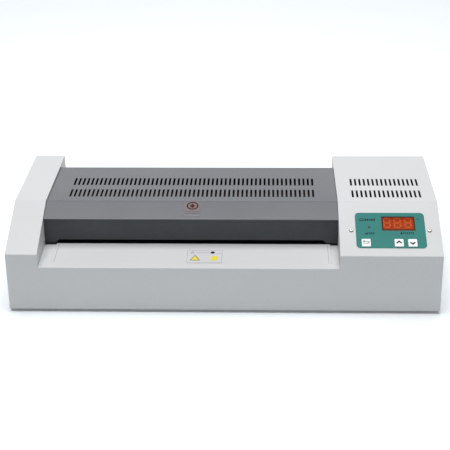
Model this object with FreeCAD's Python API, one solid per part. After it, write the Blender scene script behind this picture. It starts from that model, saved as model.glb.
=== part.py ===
import FreeCAD, Part
import math
import os

from FreeCAD import Placement, Rotation, Vector

# Pouch laminator with four rollers, modelled in millimetres.
# Row frame: X across the width, Y from the feed side to the exit side, Z up.
# The origin is under the middle of the footprint, on the surface that the feet stand on.
# Most lengths below are "back" (from the front face) or "up" (from the pan's underside).

# ---------------------------------------------------------------- case
WIDTH = 510.0
DEPTH = 228.0
FOOT_HEIGHT = 4.0
LEFT_TOWER = 37.6
RIGHT_TOWER = 119.0
FRONT_UP = 71.4          # top of the upright front face at the towers
BEND_BACK = 80.5         # where the sloped panel turns into the flat top
TOP_UP = 105.4
SHEET = 1.2
FOLD_R = 1.6             # outer radius of a sharp fold
BEND_R = 6.0             # outer radius of a shallow bend
SEAM = 0.1               # gap left between neighbouring covers
WALL_UP = 46.0           # lower edge of the towers' inner walls
WINDOW_BACK = (60.0, 190.0)   # stretch of inner wall that is open for the rollers
WINDOW_UP = 91.0
REAR_INSET = 6.0         # the rear panel sits this far inside the towers' edges
FLANGE = 13.0            # height of the pan's turned-up edges

# ---------------------------------------------------------------- hood and paper path
RIDGE = (54.5, 93.0)     # front edge of the hood
RIDGE_R = 1.0
HOOD_BEND = (84.8, 103.2)
HOOD_BACK = 194.0
HOOD_DROP = 70.0         # lower edge of the hood's rear wall
HOOD_SIDE_GAP = 0.3
TRAY_UP = 55.1           # front edge of the feed tray
TRAY_SLOPE = math.tan(math.radians(4.5))
TRAY_BACK = 53.0
PLATE_MARGIN = (14.4, 9.5)    # side strips beside the feed plate, left and right
PLATE_START = 4.0
PLATE_BACK = 55.3         # the plate reaches a little past the tray, over the guide
PLATE_NOSE = 6.0         # length over which the plate tapers to nothing at its front
PLATE_THICK = 0.6
GUARD_BACK = 55.5
GUARD_WALL = 3.0
MOUTH_UP = 65.1          # upper lip of the feed mouth
GUARD_FOOT_UP = (60.3, 61.1)     # soles of the guard's end feet, left and right
GUARD_FOOT = (12.0, 13.0)     # widths of the guard's end feet, left and right
FOOT_BEVEL = 5.0
GUIDE_BACK = (53.15, 74.0)       # feed guide that carries the pouch to the first rollers
GUIDE_DROP = 0.3          # the guide lies this far below the tray's upper face
GUIDE_THICK = 2.0
GUIDE_LEG = 9.0           # height of the guide's front edge
EXIT_BACK = 168.0
EXIT_UP = (60.6, 57.4)   # exit tray height at its inner and outer end

# ---------------------------------------------------------------- vents
VENT_PITCH = 5.42
VENT_WIDTH = 2.5
HOOD_VENTS = 56
HOOD_VENT_X = -190.8
HOOD_VENT_ROWS = (98.2, 134.4)
HOOD_VENT_LENGTH = 22.4
TOWER_VENTS = 16
TOWER_VENT_X = 155.2
TOWER_VENT_ROWS = (92.8, 129.2)
TOWER_VENT_LENGTH = 21.6
PAN_VENTS = 12
PAN_VENT_PITCH = 24.0
PAN_VENT_SIZE = (12.0, 3.0)
PAN_VENT_ROWS = (84.0, 118.0, 152.0)

# ---------------------------------------------------------------- rollers and gears
NIP_UP = 61.5            # height of the paper path between the rollers
NIP_GAP = 0.3
ROLLER_R = 12.65
CORE_R = 9.5
JOURNAL_R = 5.0
RUNNING = 0.05           # radial clearance of every running fit
NIP_BACK = (87.0, 150.0)
AXLE_RISE = ROLLER_R + NIP_GAP / 2
SLEEVE_X = (-206.0, 123.0)
CORE_X = (-207.0, 124.5)
JOURNAL_X = (-216.5, 149.5)
MODULE = 1.25
PRESSURE_ANGLE = math.radians(20.0)
BACKLASH = 0.15
ROLLER_TEETH = 20
IDLER_TEETH = 30
PINION_TEETH = 15
GEAR_X = (140.0, 148.0)
MESH_EXTRA = 0.25        # running centre distance over the nominal one
SHAFT_R = 4.0

# ---------------------------------------------------------------- frames
FRAME_THICK = 2.0
LEFT_FRAME_X = -214.5
RIGHT_FRAME_X = 130.5
FRAME_BACK = (74.5, 167.5)
FRAME_UP = 91.5
FRAME_FLANGE = 14.0
SLOT_WIDTH = 14.0        # guide slot of a bearing block
BLOCK_HEIGHT = 12.0
SLOT_TOP_UP = 89.5
SPRING_SEAT = 1.5
SPRING_R = 3.3
SPRING_WIRE_R = 0.5
SPRING_TURNS = 4
BUSH_R = 8.0
ROD_R = 4.0
RODS = ((80.5, 20.0), (161.5, 20.0), (118.5, 86.5))

# ---------------------------------------------------------------- control panel, measured
# along the sloped panel from its front edge
OVERLAY = (155.3, 237.0, 12.6, 68.3)
OVERLAY_CORNER = 5.0
OVERLAY_THICK = 0.5
WINDOW = (186.3, 225.5, 39.9, 62.3)
WINDOW_SEAM = 0.15
KEY_SIZE = (10.4, 11.4)
KEY_ROW = 19.9
KEYS = {"key_reverse": 166.6, "key_up": 204.8, "key_down": 220.6}
KEY_CLEAR = 0.3
KEY_RISE = 1.2
KEY_TRAVEL = 0.5
LED_AT = (171.3, 45.8)
LED_R = 1.5
PANEL_SCREWS = ((150.1, 40.2), (241.8, 40.2))
BOARD_DEPTH = 11.4       # display board below the outer face
BOARD_THICK = 1.6
PLUNGER_DEPTH = 9.0      # tops of the push switches below the outer face
DIGITS = 3
DISPLAY_RAISE = 1.3      # the display sits this far up the slope from the window's middle

# ---------------------------------------------------------------- rear connections
SWITCH_AT = (166.0, 44.0)
INLET_AT = (211.0, 44.0)
ROCKER_TILT = 10.0

# ---------------------------------------------------------------- derived values
FRONT_Y = -DEPTH / 2
LEFT = -WIDTH / 2
RIGHT = WIDTH / 2
GAP_L = LEFT + LEFT_TOWER        # inner faces of the towers
GAP_R = RIGHT - RIGHT_TOWER
FACET_RISE = (TOP_UP - FRONT_UP) / BEND_BACK
FACET_DEG = math.degrees(math.atan(FACET_RISE))
HOOD_DEG = math.degrees(math.atan2(HOOD_BEND[1] - RIDGE[1], HOOD_BEND[0] - RIDGE[0]))
PANEL_BACK = DEPTH - REAR_INSET  # outer face of the rear panel
LOWER_UP = NIP_UP - AXLE_RISE
UPPER_UP = NIP_UP + AXLE_RISE
IDLER_BACK = (NIP_BACK[0] + NIP_BACK[1]) / 2
PINION_UP = LOWER_UP - (IDLER_TEETH + PINION_TEETH) * MODULE / 2 - MESH_EXTRA
AXLES = {
    "lower_front": (NIP_BACK[0], LOWER_UP),
    "upper_front": (NIP_BACK[0], UPPER_UP),
    "lower_rear": (NIP_BACK[1], LOWER_UP),
    "upper_rear": (NIP_BACK[1], UPPER_UP),
}
FRAMES = {"left_side_frame": (LEFT_FRAME_X, -1), "right_side_frame": (RIGHT_FRAME_X, 1)}


# ---------------------------------------------------------------- shape helpers
def point(x, back, up):
    """Row-frame point from the case's own measures."""
    return Vector(x, FRONT_Y + back, FOOT_HEIGHT + up)


def box(x, back, up):
    """Box between two limits on each axis."""
    return Part.makeBox(x[1] - x[0], back[1] - back[0], up[1] - up[0], point(x[0], back[0], up[0]))


def corner_arc(before, corner, after, radius):
    """Arc that rounds one corner of an outline."""
    towards = (before - corner).normalize()
    onwards = (after - corner).normalize()
    half_angle = towards.getAngle(onwards) / 2
    run = radius / math.tan(half_angle)
    inward = (towards + onwards).normalize() * (radius / math.sin(half_angle) - radius)
    return Part.Arc(corner + towards * run, corner + inward, corner + onwards * run).toShape()


def prism(outline, x):
    """Side outline of (back, up) corners, drawn out across the width.

    A corner may carry a radius as a third number.
    """
    corners = [point(x[0], corner[0], corner[1]) for corner in outline]
    if all(len(corner) == 2 for corner in outline):
        wire = Part.makePolygon(corners + corners[:1])
        return Part.Face(wire).extrude(Vector(x[1] - x[0], 0, 0))
    edges = []
    ends = []
    for index, corner in enumerate(outline):
        place = corners[index]
        if len(corner) == 2:
            ends.append((place, place))
            continue
        arc = corner_arc(corners[index - 1], place, corners[(index + 1) % len(corners)], corner[2])
        ends.append((arc.Vertexes[0].Point, arc.Vertexes[-1].Point))
        edges.append(arc)
    for index, (start, _) in enumerate(ends):
        edges.append(Part.makeLine(ends[index - 1][1], start))
    wire = Part.Wire(Part.sortEdges(edges)[0])
    return Part.Face(wire).extrude(Vector(x[1] - x[0], 0, 0))


def rod(x, back, up, radius):
    """Cylinder that lies across the width."""
    return Part.makeCylinder(radius, x[1] - x[0], point(x[0], back, up), Vector(1, 0, 0))


def post(x, back, up, radius):
    """Upright cylinder between two heights."""
    return Part.makeCylinder(radius, up[1] - up[0], point(x, back, up[0]), Vector(0, 0, 1))


def local_box(x, y, z):
    """Box in a part's own axes, before it is placed."""
    return Part.makeBox(x[1] - x[0], y[1] - y[0], z[1] - z[0], Vector(x[0], y[0], z[0]))


def local_post(x, y, z, radius):
    """Cylinder along Z in a part's own axes, before it is placed."""
    return Part.makeCylinder(radius, z[1] - z[0], Vector(x, y, z[0]), Vector(0, 0, 1))


def placed(shape, base, rotation):
    """Copy of a shape moved from its own axes to the row frame."""
    moved = shape.copy()
    moved.Placement = Placement(base, rotation).multiply(moved.Placement)
    return moved


def on_facet(shape):
    """Part drawn flat, laid on the right tower's sloped panel."""
    return placed(shape, point(0, 0, FRONT_UP), Rotation(Vector(1, 0, 0), FACET_DEG))


def joined(shapes):
    """One solid from several that touch or overlap."""
    shapes = list(shapes)
    return shapes[0].fuse(shapes[1:]).removeSplitter()


def group(shapes):
    """Separate solids kept together as one sub-part."""
    return Part.makeCompound(list(shapes))


def rounded(shape, radius, direction):
    """The shape with its edges along one direction rounded."""
    edges = []
    for edge in shape.Edges:
        run = edge.Vertexes[-1].Point - edge.Vertexes[0].Point
        if run.Length > 0 and abs(run.normalize().dot(direction)) > 0.999:
            edges.append(edge)
    return shape.makeFillet(radius, edges)


def pan_screw(shank_r, length, head_r, head_h):
    """Cross-head screw with its head up and the underside of the head at the origin."""
    head = local_post(0, 0, (0, head_h), head_r)
    head = head.makeFillet(head_h * 0.6, [edge for edge in head.Edges if edge.BoundBox.ZMin > head_h / 2])
    arm = head_r * 0.55
    half = head_r * 0.12
    recess = (head_h * 0.4, head_h * 2)
    cross = local_box((-arm, arm), (-half, half), recess).fuse(local_box((-half, half), (-arm, arm), recess))
    return joined([head.cut(cross), local_post(0, 0, (-length, 0), shank_r)])


def slots(count, start, pitch, width, rows, length, up):
    """Rows of narrow slots through a flat sheet."""
    cutters = []
    for row in rows:
        for index in range(count):
            left = start + index * pitch - width / 2
            cutters.append(box((left, left + width), (row, row + length), up))
    return cutters


# ---------------------------------------------------------------- gears
def involute(angle):
    """Involute function of a pressure angle."""
    return math.tan(angle) - angle


def gear(teeth, phase, back, up, bore_r):
    """Spur gear across GEAR_X; phase is the angle of one tooth, from +Y towards +Z."""
    pitch_r = MODULE * teeth / 2
    base_r = pitch_r * math.cos(PRESSURE_ANGLE)
    root_r = pitch_r - 1.25 * MODULE
    tip_r = pitch_r + MODULE
    flank_start = max(base_r, root_r)
    half_tooth = math.pi / (2 * teeth) - BACKLASH / (2 * pitch_r)
    flank = []
    for step in range(5):
        radius = flank_start + (tip_r - flank_start) * step / 4
        angle = half_tooth + involute(PRESSURE_ANGLE) - involute(math.acos(base_r / radius))
        flank.append((radius, angle))
    if root_r < flank_start:
        flank.insert(0, (root_r, flank[0][1]))
    outline = []
    for tooth in range(teeth):
        middle = phase + 2 * math.pi * tooth / teeth
        for radius, angle in flank:
            outline.append((radius, middle - angle))
        for radius, angle in reversed(flank):
            outline.append((radius, middle + angle))
    corners = [(back + radius * math.cos(angle), up + radius * math.sin(angle)) for radius, angle in outline]
    return prism(corners, GEAR_X).cut(rod(GEAR_X, back, up, bore_r))


def meshed_phase(phase, teeth, partner_teeth, direction):
    """Phase that puts a partner gear in mesh with a gear, seen along direction from it."""
    lead = (phase - direction) * teeth / partner_teeth
    return direction + math.pi - lead + math.pi / partner_teeth


def gear_phases():
    """Tooth phases of the whole train, started from the idler."""
    phases = {"idler": 0.0}
    phases["lower_front"] = meshed_phase(0.0, IDLER_TEETH, ROLLER_TEETH, math.pi)
    phases["lower_rear"] = meshed_phase(0.0, IDLER_TEETH, ROLLER_TEETH, 0.0)
    phases["pinion"] = meshed_phase(0.0, IDLER_TEETH, PINION_TEETH, -math.pi / 2)
    for end in ("front", "rear"):
        lower = phases["lower_" + end]
        phases["upper_" + end] = meshed_phase(lower, ROLLER_TEETH, ROLLER_TEETH, math.pi / 2)
    return phases


# ---------------------------------------------------------------- covers
def mitre_drop(slope, back):
    """Fall from a sheet's outer face to its inner face at one place, for a slope."""
    return SHEET * math.hypot(1.0, slope) - back * slope


def front_zone(top, slope, x):
    """Space in front of the mitre between the upright sheet and the sloped one."""
    inner = top - mitre_drop(slope, SHEET)
    reach = 2.0
    outer = top + reach * (top - inner) / SHEET
    return prism([(-reach, -1), (SHEET, -1), (SHEET, inner), (-reach, outer)], x)


def tray_sheet(x):
    """Upright front and sloped tray as one folded sheet."""
    inner = TRAY_UP - mitre_drop(TRAY_SLOPE, SHEET)
    end = tray_line(TRAY_BACK)
    return prism([(0, 0), (0, TRAY_UP, FOLD_R), (TRAY_BACK, end), (TRAY_BACK, end - SHEET),
                  (SHEET, inner, FOLD_R - SHEET), (SHEET, 0)], x)


def tower_shell(x):
    """Bent cover of one tower with its front, open below and at its rear."""
    inner_bend = BEND_BACK + SHEET * math.tan(math.radians(FACET_DEG / 2))
    inner_front = FRONT_UP - mitre_drop(FACET_RISE, SHEET)
    inner_top = TOP_UP - SHEET
    outer = prism([(0, 0), (0, FRONT_UP, FOLD_R), (BEND_BACK, TOP_UP, BEND_R),
                   (DEPTH, TOP_UP), (DEPTH, 0)], x)
    cavity = prism([(SHEET, -1), (SHEET, inner_front, FOLD_R - SHEET),
                    (inner_bend, inner_top, BEND_R - SHEET), (DEPTH + 1, inner_top), (DEPTH + 1, -1)],
                   (x[0] + SHEET, x[1] - SHEET))
    return outer.cut(cavity)


def front_panel():
    """Upright sheet across the whole front, lower between the towers."""
    towers = [(LEFT, GAP_L), (GAP_R, RIGHT)]
    pieces = [tower_shell(x).common(front_zone(FRONT_UP, FACET_RISE, x)) for x in towers]
    middle = (GAP_L, GAP_R)
    pieces.append(tray_sheet(middle).common(front_zone(TRAY_UP, TRAY_SLOPE, middle)))
    panel = joined(pieces)
    corners = []
    for edge in panel.Edges:
        limits = edge.BoundBox
        upright = limits.ZLength > FRONT_UP / 2
        outermost = abs(abs(limits.XMin) - RIGHT) < SEAM and abs(limits.YMin - FRONT_Y) < SEAM
        if upright and outermost:
            corners.append(edge)
    return panel.makeFillet(SHEET * 0.9, corners)


def tower_cover(x):
    """Tower shell behind the front panel."""
    return tower_shell(x).cut(front_zone(FRONT_UP, FACET_RISE, x))


def inner_wall_cutters(x):
    """Openings of a tower's inner wall: below the trays and under the hood."""
    low = box(x, (-1, DEPTH + 1), (-1, WALL_UP))
    window = box(x, WINDOW_BACK, (WALL_UP - 1, WINDOW_UP))
    rear = box(x, (PANEL_BACK - SHEET - SEAM, DEPTH + 1), (WALL_UP - 1, EXIT_UP[1] - SHEET))
    return [low, window, rear]


def left_tower_cover():
    """Cover of the narrow left tower."""
    shell = tower_cover((LEFT, GAP_L))
    return shell.cut(inner_wall_cutters((GAP_L - SHEET, GAP_L))).removeSplitter()


def key_box(centre, margin, depth):
    """Upright box on the sloped panel around one key."""
    half_x = KEY_SIZE[0] / 2 + margin
    half_y = KEY_SIZE[1] / 2 + margin
    return local_box((centre - half_x, centre + half_x), (KEY_ROW - half_y, KEY_ROW + half_y), depth)


def panel_openings(depth):
    """Cutters for the window, the keys and the indicator."""
    cutters = [local_box(WINDOW[0:2], WINDOW[2:4], depth)]
    cutters += [key_box(centre, KEY_CLEAR, depth) for centre in KEYS.values()]
    cutters.append(local_post(LED_AT[0], LED_AT[1], depth, LED_R + RUNNING))
    return cutters


def right_tower_cover():
    """Cover of the wide right tower, with its vents and the control panel's openings."""
    shell = tower_cover((GAP_R, RIGHT))
    cutters = inner_wall_cutters((GAP_R, GAP_R + SHEET))
    cutters += slots(TOWER_VENTS, TOWER_VENT_X, VENT_PITCH, VENT_WIDTH, TOWER_VENT_ROWS,
                     TOWER_VENT_LENGTH, (TOP_UP - 2 * SHEET, TOP_UP + 1))
    through = (-2 * SHEET, 1)
    cutters += [on_facet(shape) for shape in panel_openings(through)]
    cutters += [on_facet(local_post(x, y, through, 1.5)) for x, y in PANEL_SCREWS]
    return shell.cut(cutters).removeSplitter()


def base_pan():
    """Floor tray with turned-up front and rear edges, vents and frame screw holes."""
    x = (LEFT + SHEET + SEAM, RIGHT - SHEET - SEAM)
    inside = (x[0] + SHEET, x[1] - SHEET)
    back = (SHEET + SEAM, PANEL_BACK)
    outer = box(x, back, (0, FLANGE))
    outer = outer.cut(box((x[0] - 1, x[1] + 1), (PANEL_BACK - SHEET - SEAM, DEPTH), (SHEET, FLANGE + 1)))
    tray = outer.cut(box(inside, (back[0] + SHEET, PANEL_BACK - 2 * SHEET - SEAM), (SHEET, FLANGE + 1)))
    start = (GAP_L + GAP_R) / 2 - PAN_VENT_PITCH * (PAN_VENTS - 1) / 2
    cutters = slots(PAN_VENTS, start, PAN_VENT_PITCH, PAN_VENT_SIZE[0], PAN_VENT_ROWS,
                    PAN_VENT_SIZE[1], (-1, SHEET + 1))
    cutters += [post(x, back, (-1, SHEET + 1), 2.0) for x, back in frame_foot_holes()]
    cutters += [rear_post(x, up, (PANEL_BACK - 10, PANEL_BACK), 1.5) for x, up in case_screw_points()]
    return tray.cut(cutters)


def exit_line(back):
    """Height of the exit tray's upper face."""
    share = (back - EXIT_BACK) / (PANEL_BACK - EXIT_BACK)
    return EXIT_UP[0] + (EXIT_UP[1] - EXIT_UP[0]) * share


def rear_panel():
    """Upright rear sheet with cut-outs for the switch and the mains inlet."""
    back = (PANEL_BACK - SHEET, PANEL_BACK)
    top = TOP_UP - SHEET - SEAM
    outer = LEFT + SHEET + SEAM
    exit_up = exit_line(back[1]) - SHEET
    pieces = [
        box((outer, -outer), back, (SHEET, WALL_UP - SEAM)),
        box((outer, GAP_L - SHEET - SEAM), back, (SHEET, top)),
        box((GAP_R + SHEET + SEAM, -outer), back, (SHEET, top)),
        box((GAP_L + SEAM, GAP_R - SEAM), back, (SHEET, exit_up)),
    ]
    panel = joined(pieces)
    openings = [
        rear_box(SWITCH_AT, (7.0, 10.3), back),
        rear_box(INLET_AT, (13.8, 10.3), back),
    ]
    openings += [rear_post(x, up, back, 1.5) for x, up in case_screw_points()]
    return panel.cut(openings)


def hood():
    """Dark centre cover: sloped front, vented flat top and rear wall."""
    x = (GAP_L + HOOD_SIDE_GAP, GAP_R - HOOD_SIDE_GAP)
    slope = math.tan(math.radians(HOOD_DEG))
    fall = SHEET * math.hypot(1.0, slope)
    inner_bend = HOOD_BEND[0] + SHEET * math.tan(math.radians(HOOD_DEG / 2))
    top = HOOD_BEND[1]
    outline = [
        (*RIDGE, RIDGE_R), (HOOD_BEND[0], top, BEND_R), (HOOD_BACK, top, FOLD_R), (HOOD_BACK, HOOD_DROP),
        (HOOD_BACK - SHEET, HOOD_DROP), (HOOD_BACK - SHEET, top - SHEET, FOLD_R - SHEET),
        (inner_bend, top - SHEET, BEND_R - SHEET), (RIDGE[0], RIDGE[1] - fall),
    ]
    cutters = slots(HOOD_VENTS, HOOD_VENT_X, VENT_PITCH, VENT_WIDTH, HOOD_VENT_ROWS,
                    HOOD_VENT_LENGTH, (HOOD_BEND[1] - 2 * SHEET, HOOD_BEND[1] + 1))
    return prism(outline, x).cut(cutters)


def feed_guard():
    """Dark frame of the feed mouth: a bar with two end feet above and a guide sheet below."""
    x = (GAP_L + HOOD_SIDE_GAP, GAP_R - HOOD_SIDE_GAP)
    slope = math.tan(math.radians(HOOD_DEG))
    fall = SHEET * math.hypot(1.0, slope) + SEAM
    inner = GUARD_BACK + GUARD_WALL
    tops = [RIDGE[1] + (back - RIDGE[0]) * slope - fall for back in (GUARD_BACK, inner)]
    lip = inner + 5.0
    outline = [
        (GUARD_BACK, MOUTH_UP), (lip, MOUTH_UP + 0.8), (lip, MOUTH_UP + 3.0),
        (inner, MOUTH_UP + 3.0), (inner, tops[1]), (GUARD_BACK, tops[0]),
    ]
    foot_back = (GUARD_BACK, inner)
    pieces = [prism(outline, x)]
    for end, inward, width, sole in zip(x, (1, -1), GUARD_FOOT, GUARD_FOOT_UP):
        toe = end + inward * width
        bevel = toe + inward * FOOT_BEVEL
        corners = [(end, MOUTH_UP + 2), (end, sole), (toe, sole),
                   (bevel, MOUTH_UP), (bevel, MOUTH_UP + 2)]
        ring = [point(corner_x, foot_back[0], up) for corner_x, up in corners]
        face = Part.Face(Part.makePolygon(ring + ring[:1]))
        pieces.append(face.extrude(Vector(0, foot_back[1] - foot_back[0], 0)))
        cheek = sorted((end, end + inward * GUARD_WALL))
        cheek_up = (tray_line(inner) - GUIDE_DROP - GUIDE_THICK / 2, sole + 1)
        pieces.append(box(cheek, (inner - 1.5, inner), cheek_up))
    front, rear = [(back, tray_line(back) - GUIDE_DROP) for back in GUIDE_BACK]
    knee = front[0] + GUIDE_THICK
    foot = front[1] - GUIDE_LEG
    guide = [front, rear, (rear[0], rear[1] - GUIDE_THICK),
             (knee, tray_line(knee) - GUIDE_DROP - GUIDE_THICK), (knee, foot), (front[0], foot)]
    pieces.append(prism(guide, x))
    return joined(pieces)


def tray_line(back):
    """Height of the feed tray's upper face."""
    return TRAY_UP + back * TRAY_SLOPE


def feed_tray():
    """Sloped sheet from the front edge to the feed mouth."""
    x = (GAP_L + SEAM, GAP_R - SEAM)
    return tray_sheet(x).cut(front_zone(TRAY_UP, TRAY_SLOPE, x))


def feed_plate():
    """Thin smooth plate that lies on the middle of the tray."""
    nose = PLATE_START + PLATE_NOSE
    end = tray_line(PLATE_BACK)
    outline = [(PLATE_START, tray_line(PLATE_START)), (PLATE_BACK, end),
               (PLATE_BACK, end + PLATE_THICK), (nose, tray_line(nose) + PLATE_THICK)]
    return prism(outline, (GAP_L + PLATE_MARGIN[0], GAP_R - PLATE_MARGIN[1]))


def exit_tray():
    """Sheet that carries the pouch from the last rollers out at the rear."""
    ends = (EXIT_BACK, PANEL_BACK)
    outline = [(back, exit_line(back)) for back in ends]
    outline += [(back, exit_line(back) - SHEET) for back in reversed(ends)]
    return prism(outline, (GAP_L + SEAM, GAP_R - SEAM))


# ---------------------------------------------------------------- roller frame
def frame_foot_holes():
    """Places of the screws that hold the side frames to the pan."""
    left = LEFT_FRAME_X - FRAME_FLANGE / 2
    right = RIGHT_FRAME_X + FRAME_THICK + FRAME_FLANGE / 2
    return [(x, back) for x in (left, right) for back in (84.0, 158.0)]


def side_frame(x, outward):
    """Steel plate with bush holes, guide slots, spring seats and a foot flange."""
    plate_x = (x, x + FRAME_THICK)
    plate = box(plate_x, FRAME_BACK, (SHEET, FRAME_UP))
    foot_x = (x - FRAME_FLANGE, x) if outward < 0 else (plate_x[1], plate_x[1] + FRAME_FLANGE)
    foot = box(foot_x, FRAME_BACK, (SHEET, SHEET + FRAME_THICK))
    middle = x + FRAME_THICK / 2
    pieces = [plate, foot]
    cutters = [rod(plate_x, back, up, 2.0) for back, up in RODS]
    cutters += [post(hole_x, back, (0, SHEET + FRAME_THICK + 1), 2.0) for hole_x, back in frame_foot_holes()]
    for back in NIP_BACK:
        seat = (back - SLOT_WIDTH / 2, back + SLOT_WIDTH / 2)
        pieces.append(box((middle - 5.0, middle + 5.0), seat, (SLOT_TOP_UP - SPRING_SEAT, SLOT_TOP_UP)))
        cutters.append(box(plate_x, seat, (UPPER_UP - BLOCK_HEIGHT / 2, SLOT_TOP_UP - SPRING_SEAT)))
        cutters.append(rod(plate_x, back, LOWER_UP, BUSH_R))
    if outward > 0:
        cutters.append(rod(plate_x, IDLER_BACK, LOWER_UP, SHAFT_R))
    return joined(pieces).cut(cutters)


def frame_span(inset):
    """Inner faces of the two frames, brought in by an inset."""
    return (LEFT_FRAME_X + FRAME_THICK + inset, RIGHT_FRAME_X - inset)


def tie_rods():
    """Three spacer rods between the frames, tapped at both ends."""
    span = frame_span(0)
    tapped = 8.0
    rods = []
    for back, up in RODS:
        bar = rod(span, back, up, ROD_R)
        for end in ((span[0], span[0] + tapped), (span[1] - tapped, span[1])):
            bar = bar.cut(rod(end, back, up, 2.0))
        rods.append(bar)
    return group(rods)


def frame_screws():
    """Screws of the tie rods and of the frames' feet."""
    rod_screw = pan_screw(2.0, 9.5, 3.6, 2.4)
    foot_screw = pan_screw(2.0, SHEET + FRAME_THICK, 3.6, 2.4)
    screws = []
    for back, up in RODS:
        left = point(LEFT_FRAME_X, back, up)
        right = point(RIGHT_FRAME_X + FRAME_THICK, back, up)
        screws.append(placed(rod_screw, left, Rotation(Vector(0, 1, 0), -90)))
        screws.append(placed(rod_screw, right, Rotation(Vector(0, 1, 0), 90)))
    for x, back in frame_foot_holes():
        screws.append(placed(foot_screw, point(x, back, SHEET + FRAME_THICK), Rotation()))
    return group(screws)


def lower_bushes():
    """Flanged bushes that carry the lower rollers in the frames."""
    bushes = []
    for x, outward in FRAMES.values():
        outer = x if outward < 0 else x + FRAME_THICK
        inner = x + FRAME_THICK if outward < 0 else x
        body = (outer + outward, inner - outward * 4.0)
        flange = (inner, inner - outward * 4.0)
        for back in NIP_BACK:
            barrel = rod(sorted(body), back, LOWER_UP, BUSH_R)
            collar = rod(sorted(flange), back, LOWER_UP, BUSH_R + 2)
            bore = rod(sorted(body), back, LOWER_UP, JOURNAL_R + RUNNING)
            bushes.append(joined([barrel, collar]).cut(bore))
    return group(bushes)


def bearing_blocks(back):
    """Pair of sliding blocks for one upper roller, guided in the frame slots."""
    blocks = []
    low = UPPER_UP - BLOCK_HEIGHT / 2
    high = UPPER_UP + BLOCK_HEIGHT / 2
    half = SLOT_WIDTH / 2 - SEAM
    for x, outward in FRAMES.values():
        outer = x if outward < 0 else x + FRAME_THICK
        inner = x + FRAME_THICK if outward < 0 else x
        body = sorted((outer + outward * 3.0, inner - outward * 4.0))
        flange = sorted((inner - outward * SEAM, inner - outward * 4.0))
        block = box(body, (back - half, back + half), (low, high))
        block = block.fuse(box(flange, (back - half - 3, back + half + 3), (low - 2, high)))
        blocks.append(block.removeSplitter().cut(rod(body, back, UPPER_UP, JOURNAL_R + RUNNING)))
    return group(blocks)


def coil(turns, pitch, radius, wire_r):
    """Coil spring built of half rings, each tilted to climb half a pitch across the coil."""
    climb = pitch / 2
    ring_r = math.hypot(radius, climb / 2)
    tilt = math.degrees(math.asin(climb / 2 / ring_r))
    halves = []
    for index in range(2 * turns):
        half = Part.makeTorus(ring_r, wire_r, Vector(0, 0, 0), Vector(0, 0, 1), 0, 360, 180)
        side = index % 2
        half.rotate(Vector(0, 0, 0), Vector(0, 0, 1), 180 * side)
        half.rotate(Vector(0, 0, 0), Vector(0, 1, 0), tilt * (1 - 2 * side))
        half.translate(Vector(0, 0, climb * (index + 0.5)))
        halves.append(half)
    return halves[0].fuse(halves[1:])


def pressure_springs(back):
    """Pair of coil springs that push one upper roller's blocks down."""
    low = UPPER_UP + BLOCK_HEIGHT / 2 + SPRING_WIRE_R
    high = SLOT_TOP_UP - SPRING_SEAT - SPRING_WIRE_R
    spring = coil(SPRING_TURNS, (high - low) / SPRING_TURNS, SPRING_R, SPRING_WIRE_R)
    return group(placed(spring, point(x + FRAME_THICK / 2, back, low), Rotation())
                 for x, _ in FRAMES.values())


# ---------------------------------------------------------------- rollers and drive
def roller_core(back, up):
    """Steel roller body with a journal at each end."""
    return joined([rod(CORE_X, back, up, CORE_R), rod(JOURNAL_X, back, up, JOURNAL_R)])


def roller_sleeve(back, up):
    """Silicone rubber sleeve on a roller."""
    return rod(SLEEVE_X, back, up, ROLLER_R).cut(rod(SLEEVE_X, back, up, CORE_R))


def idler_pin():
    """Turned stud on the right frame that the idler runs on."""
    start = RIGHT_FRAME_X
    shoulder = (start + FRAME_THICK, GEAR_X[0] - 0.3)
    head = (GEAR_X[1] + 0.3, GEAR_X[1] + 1.8)
    return joined([
        rod((start, head[1]), IDLER_BACK, LOWER_UP, SHAFT_R),
        rod(shoulder, IDLER_BACK, LOWER_UP, SHAFT_R + 2.5),
        rod(head, IDLER_BACK, LOWER_UP, SHAFT_R + 2),
    ])


def drive_pinion(phase):
    """Pinion cut in one piece with the gear motor's output shaft."""
    toothed = gear(PINION_TEETH, phase, IDLER_BACK, PINION_UP, SHAFT_R)
    return joined([toothed, rod((GEAR_X[0] - 1, 163.0), IDLER_BACK, PINION_UP, SHAFT_R)])


def motor_bracket():
    """Angle plate that holds the gear motor beside the roller frame."""
    plate = box((151.0, 153.0), (90.0, 147.0), (SHEET, 60.0))
    foot = box((153.0, 170.0), (90.0, 147.0), (SHEET, SHEET + 2.0))
    hole = rod((150.0, 154.0), IDLER_BACK, PINION_UP, SHAFT_R + 2)
    return joined([plate, foot]).cut(hole)


def motor_gearbox():
    """Gearbox of the motor, with a bearing hole for the output shaft."""
    body = box((153.0, 166.0), (94.0, 143.0), (8.0, 58.0))
    body = rounded(body, 8.0, Vector(1, 0, 0))
    return body.cut(rod((152.0, 164.0), IDLER_BACK, PINION_UP, SHAFT_R + RUNNING))


def motor_can():
    """Round synchronous motor behind its gearbox."""
    body = rod((166.0, 198.0), IDLER_BACK, 33.0, 24.0)
    boss = rod((198.0, 201.0), IDLER_BACK, 33.0, 7.0)
    return joined([body, boss])


# ---------------------------------------------------------------- heating
def heater_shoe(side):
    """Aluminium channel above (+1) or below (-1) the paper path, between the roller pairs."""
    section = [(101, 3.0), (103, 1.0), (134, 1.0), (136, 3.0), (136, 8.5),
               (134, 8.5), (134, 5.0), (103, 5.0), (103, 8.5), (101, 8.5)]
    return prism([(back, NIP_UP + side * rise) for back, rise in section], frame_span(0))


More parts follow.
